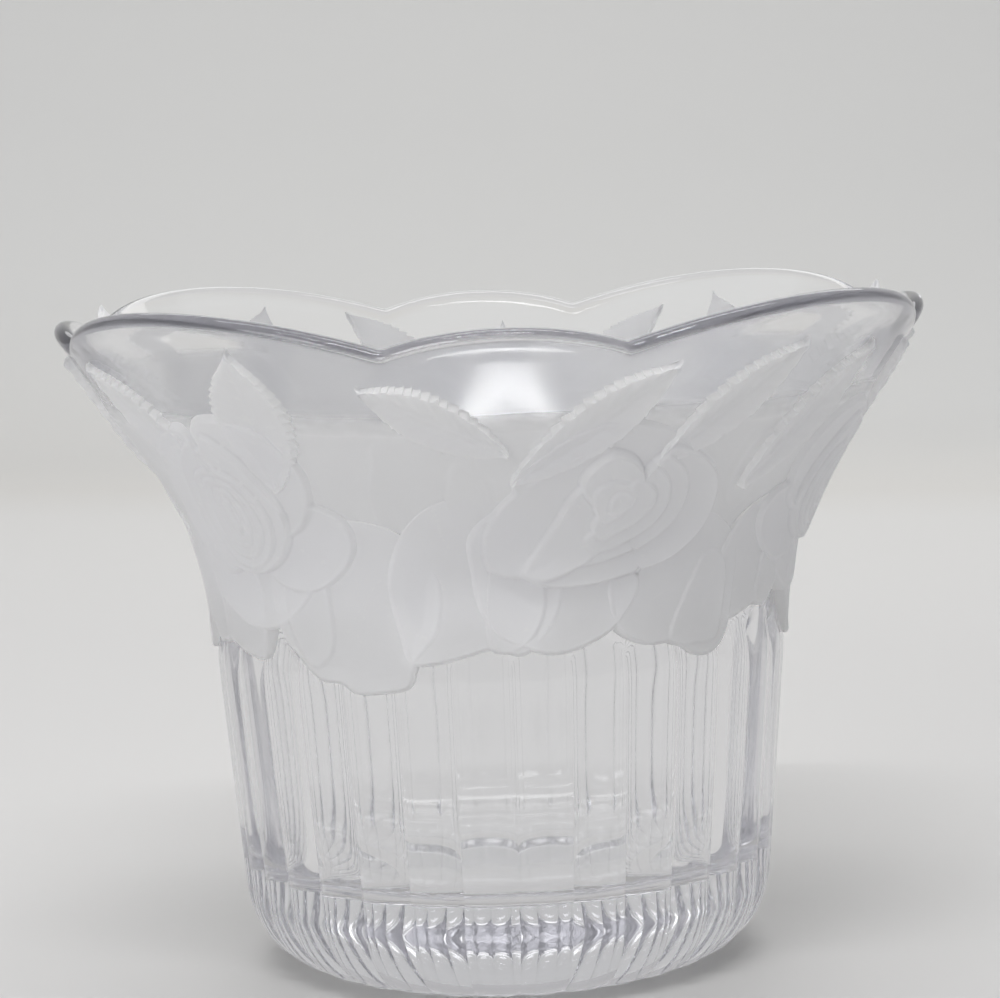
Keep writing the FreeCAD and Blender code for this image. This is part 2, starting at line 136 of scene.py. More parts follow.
# Blooms: each petal from the outermost in, as its level, its crest and the places on its edge
BLOOMS = {
    "open": [
        (1.15, 0.25, [(-31, -3), (-30, -12), (-28, -20), (-24, -26.5), (-18, -29.5), (-12, -31),
                      (-4, -29), (3, -24), (6, -14), (-10, -6), (-24, 2)]),
        (1.35, 0.35, [(-25, 8), (-20, 14.5), (-14, 19), (-6, 21.5), (4, 20), (13, 15.5), (20, 8), (14, 0),
                      (-14, 0)]),
        (1.75, 0.45, [(-26, -12), (-28.5, -4), (-26.5, 3), (-22, 8), (-16, 12.5), (-8, 16), (-2, 12),
                      (-6, -4), (-16, -13)]),
        (2.1, 0.55, [(8, 15), (16, 13), (22, 8), (23, 1), (20, -6), (13, -11.5), (4, -14), (-6, -16),
                     (-16, -15.5), (-20, -11), (-8, -3), (2, 5)]),
        (2.5, 0.6, [(6, 13.5), (12.5, 10.5), (15, 4.5), (13, -2), (7, -7), (-1, -10), (-9, -11),
                    (-12, -6), (0, 4)]),
        (2.75, 0.75, [(-20, -12), (-17.5, -6), (-14.5, 0), (-12.5, 5), (-9, 9), (-3, 10.5), (2, 8),
                      (2, 0), (-5, -9), (-14, -14)]),
        (3.1, 0.6, [(4, 11.5), (9, 8.5), (10.5, 3), (8, -2), (2, -6), (-5, -8), (-8, -4), (0, 3)]),
        (3.3, 0.7, [(-11, 8), (-9, 12.5), (-5, 15), (0, 13.5), (3.5, 9.5), (4, 5), (0, 2), (-6, 2)]),
        (3.5, 0.6, [(1, 9), (6, 7), (7, 3), (4, -1), (-1, -4), (-5, -5), (-7, -1), (-3, 5)]),
        (3.8, 0.6, [(-8, 5), (-7, 8), (-3, 9), (1, 7.5), (2, 4), (-1, 0), (-5, -1)]),
        (4.1, 0.5, [(-4, 5), (-2, 7), (1, 6), (1.5, 3), (-1, 1), (-4, 1.5)]),
    ],
    "turned": [
        (1.2, 0.3, [(-26, -14), (-20, -22), (-10, -26), (0, -25.5), (9, -20), (13, -13), (0, -4),
                    (-20, -4)]),
        (1.5, 0.4, [(8, 4), (19, 4.5), (26, 1), (26, -6), (20, -13), (12, -16.5), (2, -14), (0, -2)]),
        (1.9, 0.5, [(-2, 21), (8, 24), (18, 21), (23, 13), (21, 5), (15, -2), (6, -4), (0, 6)]),
        (2.0, 0.5, [(-4, 21), (-14, 20), (-22, 13), (-25, 2), (-22, -8), (-13, -14), (-4, -8), (-4, 8)]),
        (2.6, 0.75, [(0, 20), (6, 17.5), (10.5, 11), (13, 3), (11.5, -4), (6, -10), (-2, -13), (-8, -10),
                     (-6, 6)]),
        (2.8, 0.6, [(-3, 18.5), (-11, 15), (-15.5, 7), (-16, -3), (-12, -10), (-4, -12.5), (0, -8),
                    (1, 8)]),
        (3.1, 0.7, [(-9, 11), (-12.5, 4), (-12, -4), (-7, -10), (0, -11), (6.5, -6), (8.5, 2), (5, 10),
                    (-2, 13)]),
        (3.4, 0.7, [(-6.5, 10), (-9, 3), (-8, -5), (-4, -8.5), (1, -8), (5, -3), (5.5, 4), (2.5, 9.5),
                    (-2, 11)]),
        (3.7, 0.65, [(-4.5, 8), (-6, 3), (-5, -3.5), (-2, -6), (1.5, -4), (2.8, 3), (1, 8), (-2, 9)]),
        (4.0, 0.5, [(-3, 6), (-3.6, 2), (-2.5, -2.5), (-0.8, -3), (0.6, 1), (0, 6)]),
    ],
}
# Lower petals: angle, height share, size share, shape, side
LOWER_PETALS = [
    (-24.0, 0.620, 1.05, "broad", 1),
    (-4.0, 0.650, 1.00, "draped", 1),
    (32.0, 0.620, 1.00, "folded", 1),
    (-62.0, 0.630, 0.90, "draped", -1),
    (54.0, 0.650, 0.75, "draped", 1),
    (84.0, 0.620, 0.95, "broad", -1),
    (106.0, 0.640, 0.95, "folded", -1),
    (143.0, 0.625, 1.00, "broad", 1),
    (165.0, 0.635, 0.95, "draped", -1),
    (-150.0, 0.620, 1.00, "folded", 1),
    (-127.0, 0.635, 0.95, "draped", 1),
    (-87.0, 0.625, 0.95, "broad", 1),
]
# Shapes of the lower petals, and of the soft ones in the ground: written as the blooms are
PETAL_SHAPES = {
    "broad": [
        (0.95, 0.25, [(-23, -8), (-18, -14), (-13, -18), (-8, -18.5), (-4, -20.5), (3, -20), (8, -18.5),
                      (10, -13), (15, -6), (16, 6), (8, 15), (-6, 17), (-18, 13), (-24, 3)]),
        (1.15, 0.3, [(-19, -10), (-14, -15.5), (-9, -12), (-8, -4), (-9, 6), (-16, 8), (-21, 0)]),
    ],
    "draped": [
        (0.9, 0.25, [(-17, -13), (-15, -19), (-9, -19), (-3, -17.5), (3, -16), (9, -17.5), (14, -14),
                     (18, -6), (18, 6), (10, 16), (-4, 18), (-14, 12), (-19, 0)]),
        (1.1, 0.3, [(2, -15), (8, -16.5), (13, -12), (15, -4), (13, 6), (6, 9), (2, 0)]),
    ],
    "folded": [
        (0.95, 0.3, [(-15, -3), (-12, -9), (-6, -12.5), (2, -13), (8, -16.5), (14, -16), (18, -11),
                     (19, -2), (18, 8), (8, 16), (-6, 15), (-15, 7)]),
        (1.2, 0.3, [(0, -12), (8, -14), (14, -13), (16, -5), (15, 5), (9, 8), (4, 0)]),
    ],
}
# Soft petals of the satin ground: angle, height, size share, shape, side
GROUND_PETALS = [
    (-22.0, 124.0, 0.75, "broad", -1),
    (-9.0, 118.0, 0.80, "draped", 1),
    (3.0, 127.0, 0.60, "folded", 1),
    (47.0, 122.0, 0.70, "draped", -1),
    (88.0, 125.0, 0.75, "broad", 1),
    (104.0, 118.0, 0.80, "draped", -1),
    (150.0, 124.0, 0.80, "folded", 1),
    (172.0, 130.0, 0.60, "broad", 1),
    (-140.0, 124.0, 0.75, "draped", 1),
    (-84.0, 122.0, 0.80, "folded", -1),
    (-70.0, 130.0, 0.60, "broad", -1),
]
# Leaves: angle of the tip, its height share, length share, width share, tilt
LEAVES = [
    (-32.5, 0.990, 0.72, 0.84, 6.0),
    (-64.0, 0.962, 0.84, 0.62, -42.0),
    (-17.0, 0.935, 0.72, 0.50, -62.0),
    (23.5, 0.957, 0.88, 0.56, 50.0),
    (41.8, 0.976, 0.82, 0.54, 46.0),
    (57.0, 0.963, 0.84, 0.60, 34.0),
    (72.0, 0.955, 0.84, 0.60, -30.0),
    (88.0, 0.960, 0.86, 0.60, -50.0),
    (113.0, 1.022, 0.94, 0.80, 12.0),
    (144.0, 0.993, 0.88, 0.64, 34.0),
    (152.0, 0.970, 0.88, 0.60, -42.0),
    (178.0, 0.950, 0.74, 0.70, 4.0),
    (-157.0, 0.975, 0.88, 0.60, 44.0),
    (-144.0, 0.993, 0.88, 0.70, -30.0),
    (-113.0, 1.022, 0.70, 0.80, -12.0),
    (-79.0, 0.962, 0.86, 0.60, 36.0),
]


# The glass wall as formulas


class Wall:
    """Half section of a wall: a wall line, a bend and a flare line, as the CAD has it."""

    def __init__(self, inset, flare_inset):
        draft, flare = radians(WALL_DRAFT), radians(FLARE_ANGLE)
        self.draft, self.flare = draft, flare
        self.low = np.array([FOOT_RADIUS + cos(draft) * (CORNER_RADIUS - inset),
                             CORNER_RADIUS - sin(draft) * (CORNER_RADIUS - inset)])
        self.rim = np.array([SMALL_LOBE_RADIUS - cos(flare) * flare_inset,
                             RIM_HEIGHT + sin(flare) * flare_inset])
        rise, spread = np.array([sin(draft), cos(draft)]), np.array([sin(flare), cos(flare)])
        along = np.linalg.solve(np.column_stack([rise, -spread]), self.rim - self.low)[0]
        corner = self.low + rise * along
        self.bend = FLARE_BEND + flare_inset
        reach = self.bend * tan((flare - draft) / 2)
        self.bend_low = corner - rise * reach
        self.bend_high = corner + spread * reach
        self.centre = self.bend_low + np.array([cos(draft), -sin(draft)]) * self.bend

    def lean(self, height):
        """Lean from upright, in radians."""
        sine = np.clip((np.asarray(height) - self.centre[1]) / self.bend, sin(self.draft), sin(self.flare))
        return np.arcsin(sine)

    def radius(self, height):
        height = np.asarray(height, float)
        lower = self.low[0] + (height - self.low[1]) * tan(self.draft)
        upper = self.rim[0] + (height - self.rim[1]) * tan(self.flare)
        bent = self.centre[0] - np.sqrt(np.maximum(self.bend ** 2 - (height - self.centre[1]) ** 2, 0))
        return np.where(height < self.bend_low[1], lower, np.where(height > self.bend_high[1], upper, bent))


CRESTS = Wall(0.0, 0.0)
GROOVE_DEPTH = GROOVE_SHARE * 2 * pi * CRESTS.low[0] / RIBS
CORE = Wall(GROOVE_DEPTH + CORE_GAP, 0.0)
INSIDE = Wall(BODY_THICKNESS, WALL_THICKNESS)


def rib_crest(height):
    """Crest radius of the ribs, which sink into the flare above the shoulder."""
    height = np.asarray(height, float)
    shoulder = CRESTS.radius(RIB_SHOULDER)
    top = CORE.radius(RIB_TOP) - CORE_GAP
    upright = np.tan(radians(WALL_DRAFT))
    turn = (top - shoulder) / (RIB_TOP - RIB_SHOULDER) - upright
    bend = turn * SHOULDER_SOFTNESS * np.logaddexp(0, (height - RIB_SHOULDER) / SHOULDER_SOFTNESS)
    straight = shoulder + upright * (height - RIB_SHOULDER)
    return np.where(height < RIB_SHOULDER, CRESTS.radius(height), straight) + bend


def smooth_step(share):
    """An even rise from 0 to 1, without corners at its ends."""
    share = np.clip(share, 0, 1)
    return share * share * (3 - 2 * share)


def rib_columns(per_rib):
    """Angles of the columns in degrees, and how far each is from the crest of its rib, 0 to 1."""
    step = 360 / RIBS
    place = np.sin(pi / 2 * (2 * np.arange(per_rib) / per_rib - 1))
    angles = [RIB_TURN + rib * step + (place + 1) / 2 * step for rib in range(RIBS)]
    return np.concatenate(angles), np.tile(np.abs(place), RIBS)


def lobe_reach(angle):
    """Plan radius of the scalloped trim at the rim's height, for angles in degrees."""
    slope = tan(radians(FLARE_ANGLE))

    def spread(radius):
        return radius + (radius - SMALL_LOBE_RADIUS) / slope ** 2

    def arc(turn, half, peak):
        cusp = spread(CUSP_RADIUS)
        peak = spread(peak)
        middle = (peak ** 2 - cusp ** 2) / (2 * (peak - cusp * cos(radians(half))))
        return middle * np.cos(turn) + np.sqrt((peak - middle) ** 2 - (middle * np.sin(turn)) ** 2)

    quarter = np.mod(angle - RIM_TURN + 45, 90) - 45
    small = np.abs(quarter) <= SMALL_LOBE_HALF_ANGLE
    from_large = np.radians(np.abs(quarter) - 45)
    large_arc = arc(from_large, 45 - SMALL_LOBE_HALF_ANGLE, LARGE_LOBE_RADIUS)
    return np.where(small, arc(np.radians(quarter), SMALL_LOBE_HALF_ANGLE, SMALL_LOBE_RADIUS), large_arc)


def rim_edge(angle):
    """Outer edge of the rim before rounding: radius and height."""
    slope = tan(radians(FLARE_ANGLE))
    rise = (lobe_reach(angle) - SMALL_LOBE_RADIUS) / (slope + 1 / slope)
    return SMALL_LOBE_RADIUS + rise * slope, RIM_HEIGHT + rise


# Meshes


def mesh_piece(name, vertices, faces, material, replaced):
    """A piece of the vase from vertices in millimetres."""
    mesh = bpy.data.meshes.new(name)
    mesh.from_pydata((np.asarray(vertices) * MM).tolist(), [], faces)
    mesh.validate()
    mesh.update()
    piece = bpy.data.objects.new(name, mesh)
    bpy.context.scene.collection.objects.link(piece)
    mesh.materials.append(material)
    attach(piece, "root")
    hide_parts(*replaced)
    return piece


def shade_smooth(mesh, crease):
    """Smooth shading, sharp where faces meet at more than an angle in degrees."""
    mesh.polygons.foreach_set("use_smooth", np.ones(len(mesh.polygons), bool))
    mesh.set_sharp_from_angle(angle=radians(crease))


def ring_faces(rows, columns):
    """Quads between rows that each close to a ring."""
    faces = []
    for row in range(rows - 1):
        low = row * columns
        for column in range(columns):
            after = (column + 1) % columns
            faces.append((low + column, low + after, low + columns + after, low + columns + column))
    return faces


# The vessel


def build_vessel(material):
    """One closed skin: underside, ribs, flare, rounded rim, cavity and floor."""
    angles, place = rib_columns(24)
    columns = len(angles)
    turn = np.radians(angles)
    rows = []

    def add(radius, height):
        radius = np.broadcast_to(radius, columns)
        height = np.broadcast_to(height, columns)
        rows.append(np.column_stack([radius * np.sin(turn), -radius * np.cos(turn), height]))

    foot_groove = GROOVE_SHARE * 2 * pi * FOOT_RADIUS / RIBS
    recess = FOOT_RADIUS - foot_groove - FOOT_RING_WIDTH
    for share in np.linspace(0.04, 1.0, 10):
        add(recess * share, RECESS_DEPTH * (1 - share ** 2))
    add(recess + 1.2, 0.0)
    add((recess + FOOT_RADIUS) / 2, 0.0)

    def ribbed(crest, height):
        upright = smooth_step((height - GROOVE_CHANGE_START) / GROOVE_CHANGE_LENGTH)
        round_part = (GROOVE_AT_FOOT - GROOVE_LOST_ABOVE * upright) * place ** GROOVE_ROUNDNESS
        groove = round_part + GROOVE_LINE * upright * place ** GROOVE_LINE_SHARPNESS
        return crest - GROOVE_SHARE * 2 * pi * crest / RIBS * groove

    for lean in np.linspace(0, 90 - WALL_DRAFT, 30):
        crest = FOOT_RADIUS + CORNER_RADIUS * sin(radians(lean))
        height = CORNER_RADIUS * (1 - cos(radians(lean)))
        add(ribbed(crest, height), height)
    low = CRESTS.low[1]
    wall_heights = np.linspace(low, RIB_SHOULDER, 44)[1:]
    shoulder_heights = np.linspace(RIB_SHOULDER, RIB_TOP, 12)[1:]
    for height in np.concatenate([wall_heights, shoulder_heights]):
        add(np.maximum(ribbed(rib_crest(height), height), CORE.radius(height)), height)
    edge_radius, edge_height = rim_edge(angles)
    flare = radians(FLARE_ANGLE)
    up = (sin(flare), cos(flare))
    out = (cos(flare), -sin(flare))
    half = WALL_THICKNESS / 2
    round_start = edge_height - RIM_ROUND * up[1]
    for share in np.linspace(0, 1, 28)[1:]:
        height = RIB_TOP + (round_start - RIB_TOP) * share
        add(CORE.radius(height), height)
    middle_radius = edge_radius - half * out[0] - RIM_ROUND * up[0]
    middle_height = edge_height - half * out[1] - RIM_ROUND * up[1]
    for swing in np.linspace(0, pi, 15)[1:]:
        across, along = half * cos(swing), RIM_ROUND * sin(swing)
        add(middle_radius + across * out[0] + along * up[0],
            middle_height + across * out[1] + along * up[1])
    inner_top = rows[-1][:, 2]
    reach = FLOOR_CORNER * tan((pi / 2 - radians(WALL_DRAFT)) / 2)
    corner_top = FLOOR_HEIGHT + reach * cos(radians(WALL_DRAFT))
    for share in np.linspace(0, 1, 44)[1:]:
        height = inner_top + (corner_top - inner_top) * share
        swell = INSIDE_SWELL * np.clip(1 - ((height - SWELL_MIDDLE) / SWELL_HALF_HEIGHT) ** 2, 0, 1)
        add(INSIDE.radius(height) - swell, height)
    inner_foot = float(INSIDE.radius(FLOOR_HEIGHT))
    for lean in np.linspace(90 - WALL_DRAFT, 0, 12)[1:]:
        add(inner_foot - reach + FLOOR_CORNER * sin(radians(lean)),
            FLOOR_HEIGHT + FLOOR_CORNER * (1 - cos(radians(lean))))
    for share in np.linspace(1, 0.04, 9)[1:]:
        add((inner_foot - reach) * share, FLOOR_HEIGHT)
    vertices = np.concatenate(rows)
    faces = ring_faces(len(rows), columns)
    faces.append(tuple(range(columns))[::-1])
    faces.append(tuple(range(len(vertices) - columns, len(vertices))))
    piece = mesh_piece("vessel_glass", vertices, faces, material, ["vessel"])
    shade_smooth(piece.data, crease=38)


# Relief on the wall


class Motif:
    """A place on the wall that relief stands round."""

    def __init__(self, angle, height):
        self.angle = angle
        self.height = height

    def points(self, across, up, relief, seated):
        """Points from places across and up, lifted by a relief; seated ones lie on ribs or flare."""
        height = self.height + up
        base = CRESTS.radius(height)
        if seated:
            base = np.maximum(CORE.radius(height), np.where(height < RIB_TOP, rib_crest(height), 0))
        turn = radians(self.angle) + np.arcsin(np.clip(across / base, -1, 1))
        lean = CRESTS.lean(height)
        radius = base + relief * np.cos(lean)
        return np.stack([radius * np.sin(turn), -radius * np.cos(turn), height - relief * np.sin(lean)], -1)

    def shell(self, across, up, relief):
        """Vertices and faces of a grid of places with relief, closed by a seat on the glass."""
        rows, columns = across.shape
        top = self.points(across, up, relief, False).reshape(-1, 3)
        seat = self.points(across, up, SEAT, True).reshape(-1, 3)
        grid = np.arange(rows * columns).reshape(rows, columns)
        under = grid + rows * columns
        faces = []
        for low, flip in ((grid, False), (under, True)):
            quads = np.stack([low[:-1, :-1], low[:-1, 1:], low[1:, 1:], low[1:, :-1]], -1).reshape(-1, 4)
            faces += (quads[:, ::-1] if flip else quads).tolist()
        for line, below in ((grid[0], under[0]), (grid[-1][::-1], under[-1][::-1]),
                            (grid[:, 0][::-1], under[:, 0][::-1]), (grid[:, -1], under[:, -1])):
            faces += np.stack([line[1:], line[:-1], below[:-1], below[1:]], -1).tolist()
        return np.concatenate([top, seat]), faces


def smooth_loop(places, size, side):
    """A closed curve through places, with rounded turns."""
    places = np.array(places, float) * size * np.array([side, 1.0])
    before, after, later = (np.roll(places, turns, 0) for turns in (1, -1, -2))
    curve = []
    for share in np.arange(8) / 8:
        straight = 2 * places + (after - before) * share
        bent = (2 * before - 5 * places + 4 * after - later) * share ** 2
        curve.append((straight + bent + (3 * places - before - 3 * after + later) * share ** 3) / 2)
    return np.stack(curve, 1).reshape(-1, 2)


def depth_inside(loop, across, up):
    """How far places lie inside a closed curve, below 0 outside it."""
    nearest = np.full(across.shape, 1e9)
    inside = np.zeros(across.shape, bool)
    for (start_x, start_y), (end_x, end_y) in zip(loop, np.roll(loop, -1, 0)):
        run, rise = end_x - start_x, end_y - start_y
        share = ((across - start_x) * run + (up - start_y) * rise) / (run ** 2 + rise ** 2)
        share = np.clip(share, 0, 1)
        beyond = (across - start_x - share * run) ** 2 + (up - start_y - share * rise) ** 2
        nearest = np.minimum(nearest, beyond)
        if rise:
            beside = across < start_x + (up - start_y) * run / rise
            inside ^= (up >= min(start_y, end_y)) & (up < max(start_y, end_y)) & beside
    return np.where(inside, 1, -1) * np.sqrt(nearest)


def lay_petal(relief, depth, level, crest):
    """Lay a petal over what is there: dished, with a soft crest along its edge."""
    cover = smooth_step(depth / PETAL_EDGE_WIDTH)
    inward = np.maximum(depth, 0)
    dish = PETAL_DISH_DEPTH * (1 - np.exp(-inward / PETAL_DISH_WIDTH))
    shape = level + PETAL_CREST_SHARE * crest * np.exp(-inward / PETAL_CREST_WIDTH) - dish
    return relief * (1 - cover) + shape * cover


def outline_reach(loops, around):
    """How far closed curves reach from the middle in each direction."""
    along_x, along_y = np.cos(around), np.sin(around)
    reach = np.full(len(around), 2.0)
    for loop in loops:
        start, run = loop[:, None, :], (np.roll(loop, -1, 0) - loop)[:, None, :]
        across = along_x * run[..., 1] - along_y * run[..., 0]
        across = np.where(np.abs(across) < 1e-9, 1e-9, across)
        far = (start[..., 0] * run[..., 1] - start[..., 1] * run[..., 0]) / across
        place = (start[..., 0] * along_y - start[..., 1] * along_x) / across
        met = (place >= 0) & (place <= 1) & (far > 0)
        reach = np.maximum(reach, np.where(met, far, 0).max(0))
    return (np.roll(reach, 1) + 2 * reach + np.roll(reach, -1)) / 4


def build_petals(node, angle, height_share, petals, size, side, fades, material):
    """A closed piece of overlapping petals, whose upper part can sink into the ground."""
    motif = Motif(angle, height_share * RIM_HEIGHT)
    columns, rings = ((300, 84))
    around = np.linspace(0, 2 * pi, columns, endpoint=False)
    loops = [smooth_loop(places, size, side) for level, crest, places in petals]
    reach = outline_reach(loops, around)
    share = np.linspace(0, 1, rings + 1)[1:, None] ** 0.9
    across, up = share * reach * np.cos(around), share * reach * np.sin(around)
    relief = np.full(across.shape, GROUND_RELIEF)
    for loop, (level, crest, places) in zip(loops, petals):
        soft_level = GROUND_RELIEF + PETAL_STEP_SHARE * (level - GROUND_RELIEF)
        relief = lay_petal(relief, depth_inside(loop, across, up), soft_level, crest)
    relief = np.maximum(relief, PETAL_LEAST_RELIEF)
    if fades:
        fade = smooth_step((up - LOWER_PETAL_FADE_START) / LOWER_PETAL_FADE_LENGTH)
        relief = relief + (LOWER_PETAL_FADED_RELIEF - relief) * fade
    relief[-1] *= PETAL_OUTER_RING
    rows = [motif.points(across[ring], up[ring], relief[ring], False) for ring in range(rings)]
    for inner in np.linspace(1, 0, 9)[:-1]:
        place_x, place_y = inner * reach * np.cos(around), inner * reach * np.sin(around)
        rows.append(motif.points(place_x, place_y, SEAT, True))
    faces = ring_faces(len(rows), columns)
    faces.append(tuple(range(columns))[::-1])
    faces.append(tuple(range((len(rows) - 1) * columns, len(rows) * columns)))
    faces = [face[::-1] for face in faces]
    piece = mesh_piece(node + "_satin", np.concatenate(rows), faces, material, [node])
    shade_smooth(piece.data, crease=60)


def build_ground(material):
    """The satin skin between the motifs, with soft petals in low relief."""
    columns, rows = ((1080, 90))
    angles = np.linspace(-180, 180, columns, endpoint=False)
    turn = np.radians(angles)
    gap = np.exp(-((angles - GAP_ANGLE) / GAP_HALF_ANGLE) ** 4)
    low = GROUND_LOW + 1.2 * np.sin(turn * 9) + GAP_HEIGHT * gap
    top = GROUND_TOP + 1.5 * np.cos(np.radians(angles + 22.0) * 7) + 0.4 * np.sin(turn * 19)
    height = low + (top - low) * np.linspace(0, 1, rows)[:, None]
    waves = 0.06 * np.sin(turn * 12 + height * 0.11) * np.sin(height * 0.17)
    relief = np.full(height.shape, GROUND_RELIEF) + waves
    for angle, middle, size, shape, side in GROUND_PETALS:
        away = (angles - angle + 180) % 360 - 180
        near = np.abs(away) < GROUND_PETAL_REACH
        across = CRESTS.radius(height[:, near]) * np.sin(np.radians(away[near]))
        for level, crest, places in PETAL_SHAPES[shape]:
            depth = depth_inside(smooth_loop(places, size, side), across, height[:, near] - middle)
            patch = lay_petal(relief[:, near] / GROUND_PETAL_SHARE, depth, level, crest)
            relief[:, near] = GROUND_PETAL_SHARE * patch
    relief[0] *= 0.5
    least = SEAT + 0.03
    relief = least + (relief - least) * smooth_step((top - height) / GROUND_FADE)

    def skin(lift, height):
        lean = CRESTS.lean(height)
        radius = CORE.radius(height) + lift * np.cos(lean)
        return np.stack([radius * np.sin(turn), -radius * np.cos(turn), height - lift * np.sin(lean)], -1)

    layers = [skin(relief[row], height[row]) for row in range(rows)]
    layers += [skin(SEAT, height[row]) for row in range(rows - 1, -1, -6)]
    if (rows - 1) % 6:
        layers.append(skin(SEAT, height[0]))
    faces = ring_faces(len(layers), columns)
    last = (len(layers) - 1) * columns
    for column in range(columns):
        after = (column + 1) % columns
        faces.append((last + column, last + after, after, column))
    piece = mesh_piece("ground_satin", np.concatenate(layers), faces, material, [])
    shade_smooth(piece.data, crease=60)


def build_leaf(node, angle, tip_share, length_share, width_share, tilt, material):
    """A saw-edged leaf with raised sides, a midrib and side veins."""
    motif = Motif(angle, tip_share * RIM_HEIGHT)
    length = length_share * LEAF_LENGTH
    width = width_share * LEAF_WIDTH
    along = np.linspace(0, 1, 137)[:, None]
    side = np.linspace(-1, 1, 21)[None, :]
    outward = np.abs(side)
    saw = np.mod(along * LEAF_TEETH, 1)
    half = width / 2 * np.sin(pi * along ** 0.8) + 0.12
    across = half * side * (1 + (0.07 - LEAF_TOOTH_DEPTH * saw) * outward ** 9)
    sweep = 0.10 * length * outward * np.sin(pi * along)
    up = np.minimum(length * (along - 1) + sweep - 0.04 * length * side ** 2, 0)
    midrib = np.exp(-(across / MIDRIB_HALF_WIDTH) ** 2) * (1 - along) ** 0.3
    veins = np.cos(2 * pi * (along * LEAF_VEINS - outward))
    shape = 0.36 + 0.84 * outward ** 1.2 + 0.34 * midrib + 0.08 * veins * outward ** 0.5
    relief = LEAF_RELIEF * shape * np.where(side ** 2 == 1, LEAF_EDGE_SHARE, 1.0)
    lean = radians(tilt)
    turned_across = across * cos(lean) + up * sin(lean)
    turned_up = up * cos(lean) - across * sin(lean)
    vertices, faces = motif.shell(turned_across, turned_up, relief)
    piece = mesh_piece(node + "_satin", vertices, faces, material, [node])
    shade_smooth(piece.data, crease=50)


# Materials


class Value:
    """A socket that takes part in sums, which add their Math nodes."""

    def __init__(self, tree, socket):
        self.tree = tree
        self.socket = socket

    def math(self, operation, *values):
        made = self.tree.node("ShaderNodeMath", {"operation": operation}, dict(enumerate(values)))
        return made.out("Value")

    def __add__(self, other):
        return self.math("ADD", self, other)

    def __radd__(self, other):
        return self.math("ADD", other, self)

    def __sub__(self, other):
        return self.math("SUBTRACT", self, other)

    def __rsub__(self, other):
        return self.math("SUBTRACT", other, self)

    def __mul__(self, other):
        return self.math("MULTIPLY", self, other)

    def __rmul__(self, other):
        return self.math("MULTIPLY", other, self)


class Made:
    """A node that was added, with its outputs by name or number."""

    def __init__(self, tree, node):
        self.tree = tree
        self.node = node

    def out(self, name):
        return Value(self.tree, self.node.outputs[name])


class Tree:
    """A material's or the world's nodes."""

    def __init__(self, owner):
        owner.use_nodes = True
        self.nodes = owner.node_tree.nodes
        self.links = owner.node_tree.links
        self.nodes.clear()

    def node(self, kind, settings=None, inputs=None):
        node = self.nodes.new(kind)
        for name, value in (settings or {}).items():
            if name == "stops":
                elements = node.color_ramp.elements
                while len(elements) < len(value):
                    elements.new(0.5)
                for element, (place, colour) in zip(elements, value):
                    element.position = place
                    element.color = colour
            else:
                setattr(node, name, value)
        for name, value in (inputs or {}).items():
            if isinstance(value, Value):
                self.links.new(value.socket, node.inputs[name])
            else:
                node.inputs[name].default_value = value
        return Made(self, node)


def new_material(name):
    material = bpy.data.materials.new(name)
    return material, Tree(material)


def clear_glass():
    """Polished pressed glass, with the faint waviness of the mould."""
    material, tree = new_material("polished pressed glass")
    place = tree.node("ShaderNodeTexCoord").out("Object")
    wave = tree.node("ShaderNodeTexNoise", {}, {"Vector": place, "Scale": 46.0, "Detail": 1.5}).out("Fac")
    haze = tree.node("ShaderNodeTexNoise", {}, {"Vector": place, "Scale": 120.0, "Detail": 3.0}).out("Fac")
    bump = tree.node("ShaderNodeBump", {}, {"Strength": 0.010, "Distance": 0.0010, "Height": wave})
    glass = tree.node("ShaderNodeBsdfPrincipled", {}, {
        "Base Color": (0.992, 0.994, 1.0, 1), "Roughness": 0.035 + 0.02 * haze, "IOR": 1.52,
        "Transmission Weight": 1.0, "Normal": bump.out("Normal")})
    depth = tree.node("ShaderNodeVolumeAbsorption", {}, {"Color": (0.80, 0.80, 0.825, 1), "Density": 12.0})
    tree.node("ShaderNodeOutputMaterial", {}, {"Surface": glass.out("BSDF"), "Volume": depth.out("Volume")})
    return material


